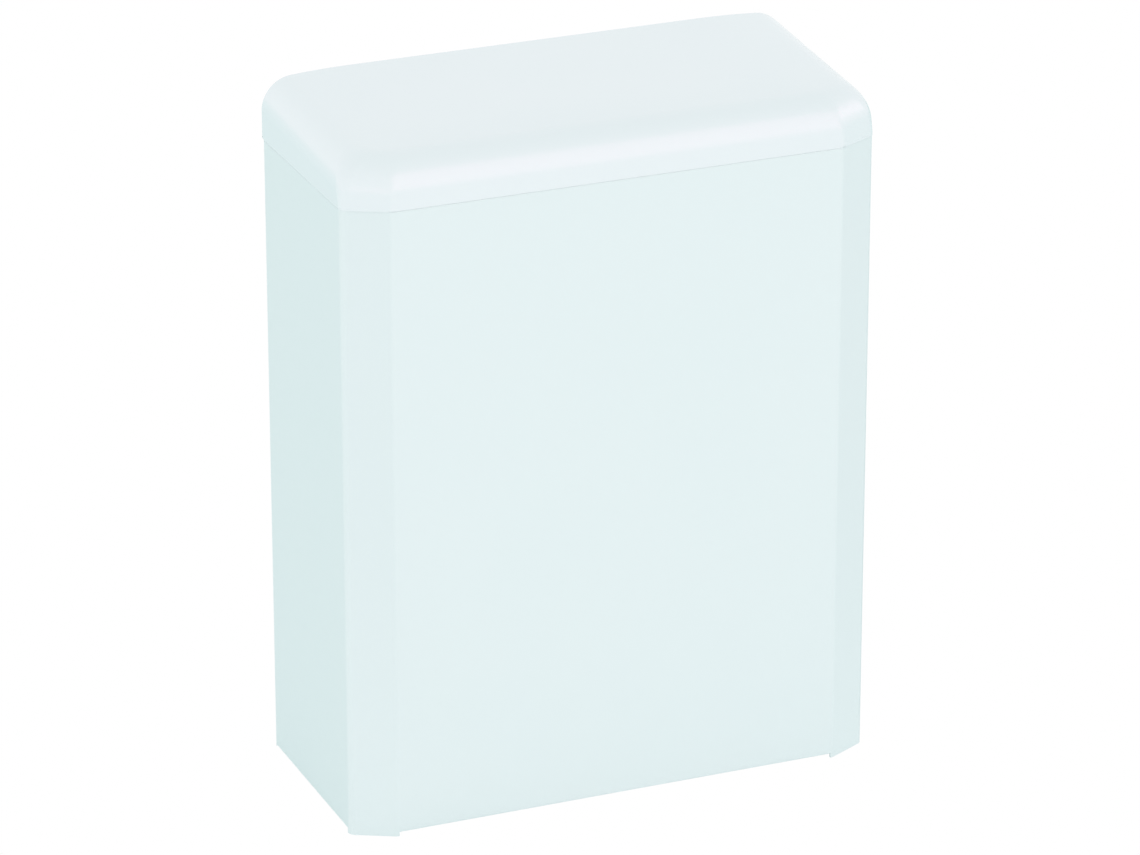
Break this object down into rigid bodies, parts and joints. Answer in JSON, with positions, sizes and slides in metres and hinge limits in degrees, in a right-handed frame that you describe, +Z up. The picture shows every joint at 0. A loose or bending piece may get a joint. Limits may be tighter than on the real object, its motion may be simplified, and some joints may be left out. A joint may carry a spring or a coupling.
{
  "type": "wall-mounted waste bin",
  "caption": "Slim steel washroom waste bin with slanted front corners, a domed hinged lid that rolls over its edges, a bag ring in its mouth and holes for fixing it to a wall.",
  "frame": {"origin": "on the floor plane of the bin's lower edges, in the middle of the whole footprint, wall pads included", "axes": "+X to the right for someone who faces the bin, +Y to the wall, +Z up; millimetres in the solids, metres in the row"},
  "size_m": [0.2354, 0.1042, 0.305],
  "materials": {
    "white_enamel": "gloss",
    "white_plastic": "gloss",
    "zinc_steel": "satin",
    "rivet_aluminium": "satin",
    "nylon": "matte",
    "buffer_rubber": "matte"
  },
  "bodies": {
    "body": {"front_shell": "white_enamel", "back_plate": "white_enamel", "base_plate": "white_enamel", "left_hinge_bracket": "zinc_steel", "right_hinge_bracket": "zinc_steel", "left_hinge_bush": "nylon", "right_hinge_bush": "nylon", "rim_buffers": "buffer_rubber", "bag_ring": "zinc_steel", "bracket_rivets": "rivet_aluminium", "back_rivets": "rivet_aluminium"},
    "lid": {"lid": "white_plastic", "hinge_rod": "zinc_steel", "left_rod_clip": "zinc_steel", "right_rod_clip": "zinc_steel"}
  },
  "joints": [
    {"name": "lid_hinge", "type": "hinge", "parent": "body", "child": "lid", "pos_m": [0, 0.0426, 0.2987], "axis": [-1, 0, 0], "range_deg": [0, 80]}
  ]
}
